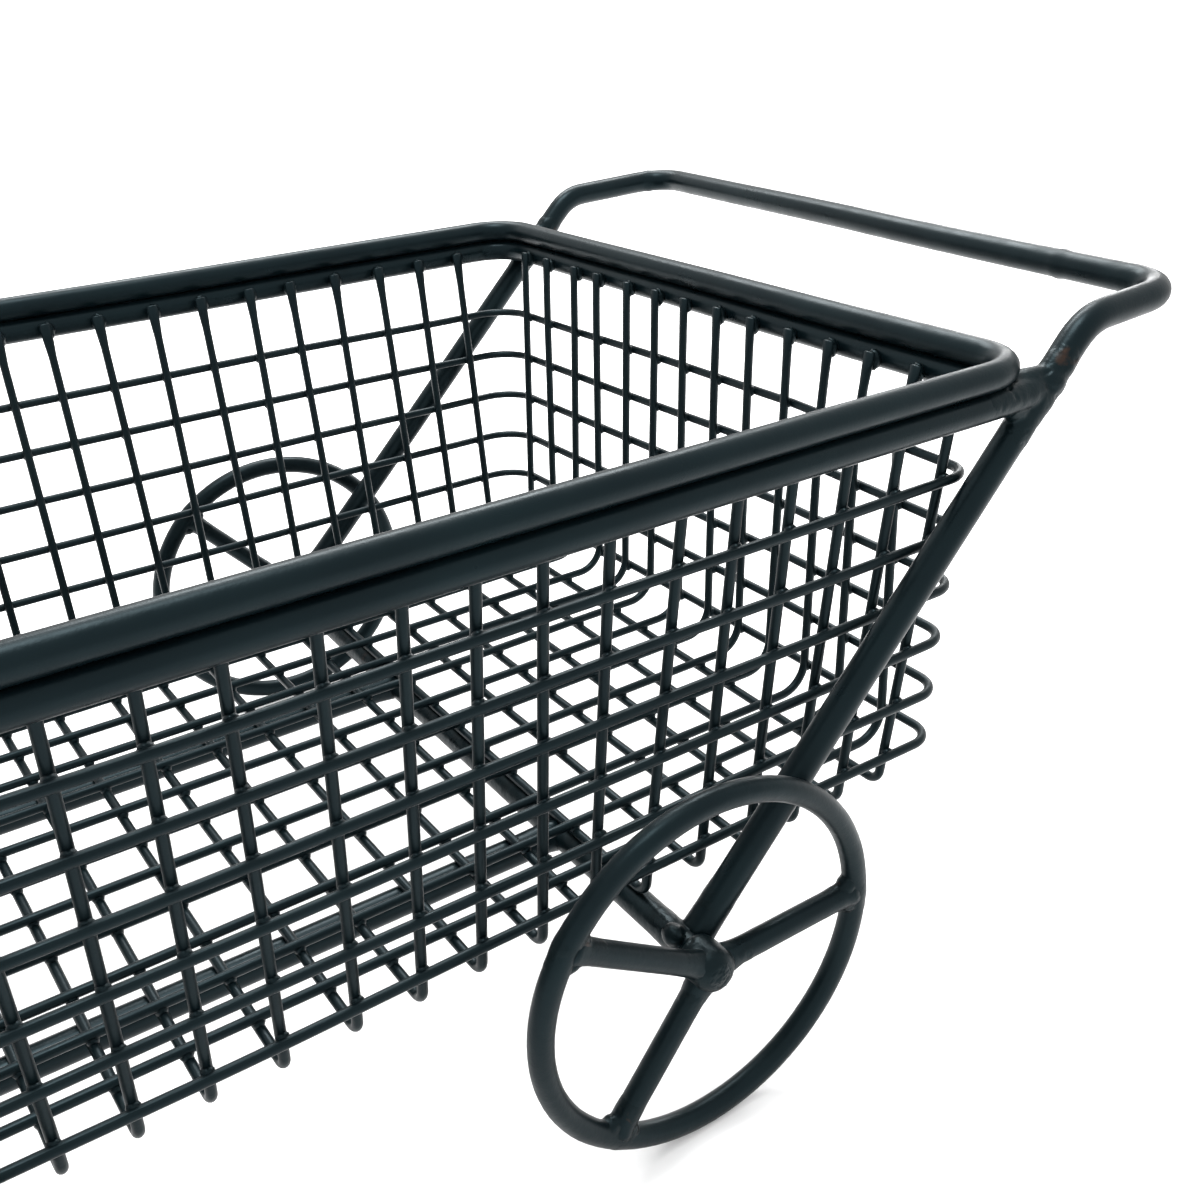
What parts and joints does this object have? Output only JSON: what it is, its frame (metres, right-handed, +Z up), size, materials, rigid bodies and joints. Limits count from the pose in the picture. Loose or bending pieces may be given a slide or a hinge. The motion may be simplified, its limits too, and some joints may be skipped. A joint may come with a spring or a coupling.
{
  "type": "rolling basket trolley",
  "caption": "Low rolling trolley: a rectangular welded wire basket under a doubled rod rim, on spoked rod wheels, with a bent push handle at one end.",
  "frame": {"origin": "on the ground, under the middle of the overall box", "axes": "+X to the rear, where the push handle is; +Y to the right-hand side of somebody who pushes it forwards; +Z up"},
  "size_m": [0.7699, 0.4292, 0.283],
  "materials": {
    "frame_steel": "satin powder coat over hand-made welds",
    "mesh_wire": "satin powder coat",
    "wheel_steel": "satin powder coat over hand-made welds"
  },
  "bodies": {
    "frame": {"upper_rim_bar": "frame_steel", "lower_rim_bar": "frame_steel", "push_handle": "frame_steel", "front_left_strut": "frame_steel", "front_right_strut": "frame_steel", "rear_axle": "frame_steel", "front_axle": "frame_steel", "left_floor_bar": "frame_steel", "right_floor_bar": "frame_steel", "cross_wires": "mesh_wire", "long_wires": "mesh_wire", "hoop_1": "mesh_wire", "hoop_2": "mesh_wire", "hoop_3": "mesh_wire", "hoop_4": "mesh_wire", "hoop_5": "mesh_wire", "hoop_6": "mesh_wire"},
    "rear_left_wheel": {"rear_left_wheel_ring": "wheel_steel", "rear_left_wheel_spokes": "wheel_steel", "rear_left_wheel_hub": "wheel_steel"},
    "rear_right_wheel": {"rear_right_wheel_ring": "wheel_steel", "rear_right_wheel_spokes": "wheel_steel", "rear_right_wheel_hub": "wheel_steel"},
    "front_left_wheel": {"front_left_wheel_ring": "wheel_steel", "front_left_wheel_spokes": "wheel_steel", "front_left_wheel_hub": "wheel_steel"},
    "front_right_wheel": {"front_right_wheel_ring": "wheel_steel", "front_right_wheel_spokes": "wheel_steel", "front_right_wheel_hub": "wheel_steel"}
  },
  "joints": [
    {"name": "rear_left_wheel_spin", "type": "hinge", "parent": "frame", "child": "rear_left_wheel", "pos_m": [0.10078, -0.206, 0.076], "axis": [0, 1, 0], "continuous": true},
    {"name": "rear_right_wheel_spin", "type": "hinge", "parent": "frame", "child": "rear_right_wheel", "pos_m": [0.10078, 0.206, 0.076], "axis": [0, 1, 0], "continuous": true},
    {"name": "front_left_wheel_spin", "type": "hinge", "parent": "frame", "child": "front_left_wheel", "pos_m": [-0.20322, -0.206, 0.076], "axis": [0, 1, 0], "continuous": true},
    {"name": "front_right_wheel_spin", "type": "hinge", "parent": "frame", "child": "front_right_wheel", "pos_m": [-0.20322, 0.206, 0.076], "axis": [0, 1, 0], "continuous": true}
  ]
}
